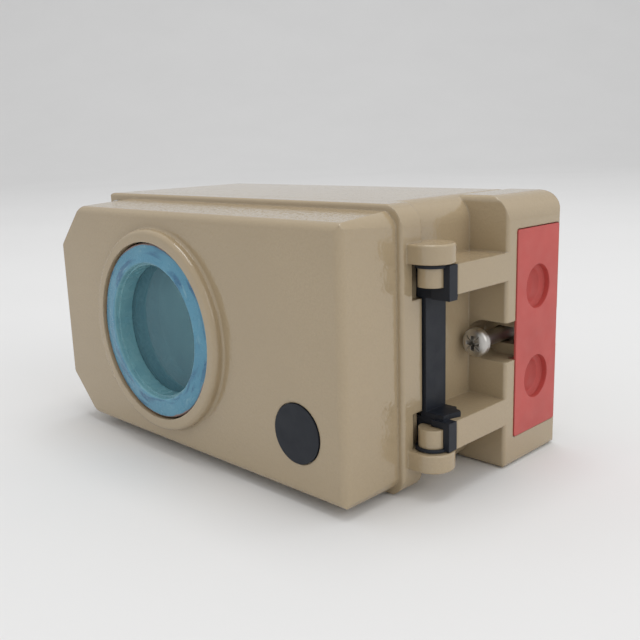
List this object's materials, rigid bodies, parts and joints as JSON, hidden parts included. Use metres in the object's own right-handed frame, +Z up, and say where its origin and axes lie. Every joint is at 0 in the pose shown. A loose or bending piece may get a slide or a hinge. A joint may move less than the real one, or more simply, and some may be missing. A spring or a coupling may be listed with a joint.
{
  "type": "electropneumatic valve positioner",
  "caption": "Electropneumatic valve positioner: die-cast box case with a hinged window cover, travel lever, air ports under a red cover and captive fixing screws.",
  "frame": {"origin": "middle of the bounding box, on the plane that the part lies on", "axes": "+X along the case to the hinge end, +Y from the cover to the back, +Z up from the side that it lies on"},
  "size_m": [0.166, 0.1244, 0.09],
  "materials": {
    "paint": "semi-gloss powder coat with a fine orange-peel grain",
    "black_plastic": "fine moulded grain",
    "red_plastic": "smooth moulded, satin",
    "blue_plastic": "mottled protective film",
    "glass": "clear and polished",
    "rubber": "matt",
    "steel": "zinc-plated or stainless, satin",
    "brass": "turned",
    "grey_plastic": "fine moulded grain",
    "board": "solder resist",
    "display": "smooth",
    "terminal_green": "moulded",
    "white_plastic": "moulded",
    "alloy": "machined",
    "module_grey": "moulded"
  },
  "bodies": {
    "housing": {"housing": "paint", "hinge_bar": "black_plastic", "instrument_panel": "grey_plastic", "panel_screws": "steel", "circuit_board": "board", "display_module": "black_plastic", "display_glass": "display", "terminal_block": "terminal_green", "terminal_screws": "steel", "encoder": "black_plastic", "key_switch": "black_plastic", "switch_body": "black_plastic", "booster": "alloy", "pressure_module": "module_grey", "travel_sensor": "black_plastic", "shaft_bush": "brass", "shaft_seal": "rubber", "blanking_plug": "black_plastic", "plug_seal": "rubber", "vent_cap": "black_plastic"},
    "cover": {"cover": "paint", "cover_gasket": "rubber", "cover_screws": "steel", "window_ring": "blue_plastic", "window_glass": "glass", "window_seal": "rubber", "badge": "black_plastic"},
    "lever": {"feedback_shaft": "steel", "pickup_lever": "steel", "lever_spacer": "brass", "lever_nut": "steel", "follower_pin": "steel", "follower_nut": "steel"},
    "knob_sleeve": {"encoder_sleeve": "brass"},
    "knob": {"knob": "black_plastic", "knob_shaft": "steel"},
    "init_key": {"init_key": "grey_plastic"},
    "air_switch": {"air_switch": "white_plastic"},
    "restrictor": {"restrictor": "brass"},
    "port_cover": {"port_cover": "red_plastic"},
    "fixing_screw_hinge_end": {"fixing_screw_hinge_end": "steel", "retaining_ring_hinge_end": "steel"},
    "fixing_screw_far_end": {"fixing_screw_far_end": "steel", "retaining_ring_far_end": "steel"}
  },
  "joints": [
    {"name": "cover_hinge", "type": "hinge", "parent": "housing", "child": "cover", "pos_m": [0.076, -0.0261, 0.0439], "axis": [0, 0, 1], "range_deg": [0, 110]},
    {"name": "lever_turn", "type": "hinge", "parent": "housing", "child": "lever", "pos_m": [0.013, 0.0355, 0.045], "axis": [0, 1, 0], "range_deg": [-30, 30]},
    {"name": "knob_push", "type": "slide", "parent": "housing", "child": "knob_sleeve", "axis": [0, 1, 0], "range_m": [0, 0.0008], "stiffness_N_per_m": 3000},
    {"name": "knob_turn", "type": "hinge", "parent": "knob_sleeve", "child": "knob", "pos_m": [0.034, -0.0446, 0.06], "axis": [0, 1, 0], "continuous": true},
    {"name": "init_push", "type": "slide", "parent": "housing", "child": "init_key", "axis": [0, 1, 0], "range_m": [0, 0.0006], "stiffness_N_per_m": 2000},
    {"name": "air_switch_slide", "type": "slide", "parent": "housing", "child": "air_switch", "axis": [1, 0, 0], "range_m": [0, 0.005]},
    {"name": "restrictor_turn", "type": "hinge", "parent": "housing", "child": "restrictor", "pos_m": [0.049, -0.0446, 0.034], "axis": [0, 1, 0], "range_deg": [0, 270]},
    {"name": "port_cover_pull", "type": "slide", "parent": "housing", "child": "port_cover", "axis": [1, 0, 0], "range_m": [0, 0.02]},
    {"name": "fixing_screw_hinge_end_slide", "type": "slide", "parent": "housing", "child": "fixing_screw_hinge_end", "axis": [0, 1, 0], "range_m": [0, 0.013]},
    {"name": "fixing_screw_far_end_slide", "type": "slide", "parent": "housing", "child": "fixing_screw_far_end", "axis": [0, 1, 0], "range_m": [0, 0.013]}
  ]
}
